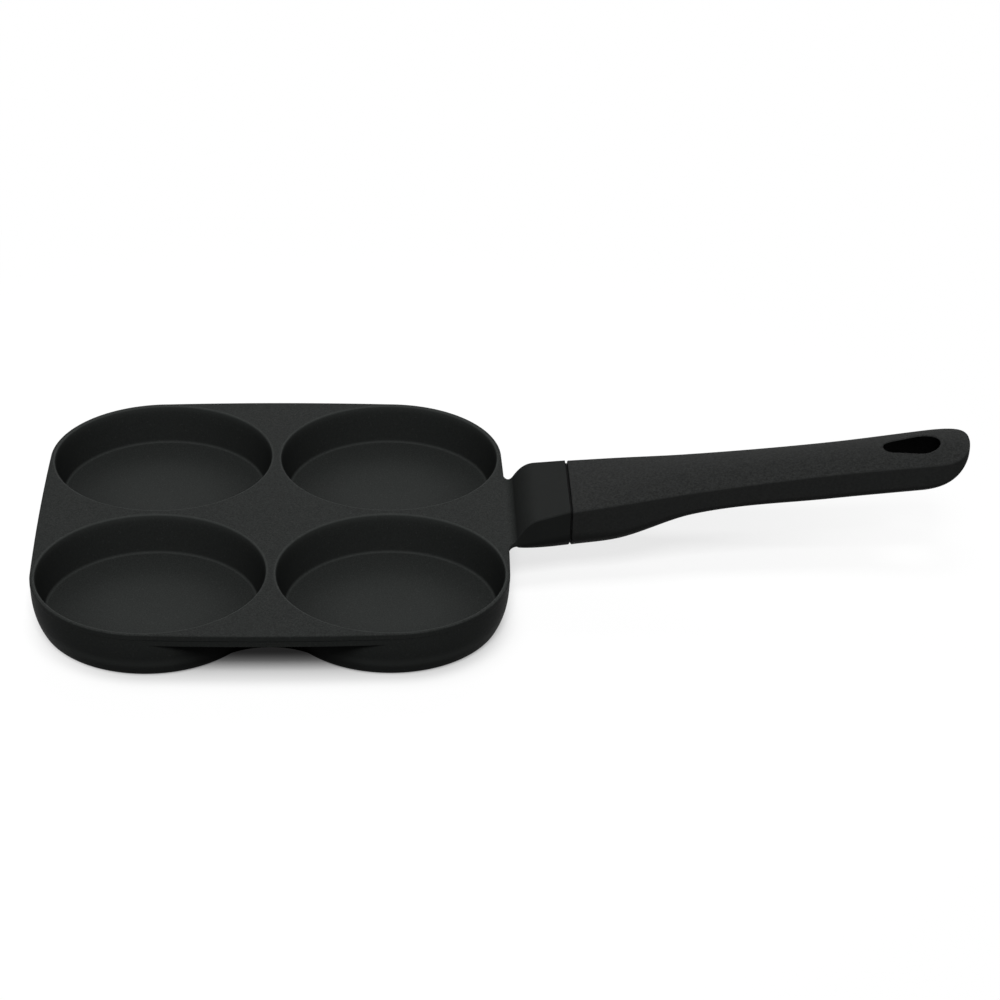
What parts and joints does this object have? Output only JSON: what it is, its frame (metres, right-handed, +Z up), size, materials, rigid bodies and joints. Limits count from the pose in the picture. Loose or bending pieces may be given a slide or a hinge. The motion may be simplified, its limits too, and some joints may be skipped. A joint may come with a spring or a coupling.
{
  "type": "multi-cup frying pan",
  "caption": "Square non-stick pan with shallow round cups for frying patties or eggs side by side, on a fixed handle with a smooth guard, a moulded grip and a hang hole.",
  "frame": {"origin": "centre of the bounding box, on the plane that the cups stand on", "axes": "+X along the handle, away from the cups; +Y across; +Z up, out of the cups' mouths"},
  "size_m": [0.382, 0.194, 0.0557],
  "materials": {
    "coated_casting": "speckled dark grey non-stick coating",
    "guard_metal": "smooth dark satin",
    "gasket_sheet": "matt black",
    "grip_phenolic": "fine-grained dark phenolic",
    "plated_steel": "zinc plated",
    "spring_steel": "dark spring steel"
  },
  "bodies": {
    "root": {"pan_casting": "coated_casting", "heat_guard": "guard_metal", "heat_gasket": "gasket_sheet", "grip": "grip_phenolic", "threaded_bush": "plated_steel", "handle_screw": "plated_steel", "flat_washer": "plated_steel", "spring_washer": "spring_steel"}
  },
  "joints": []
}
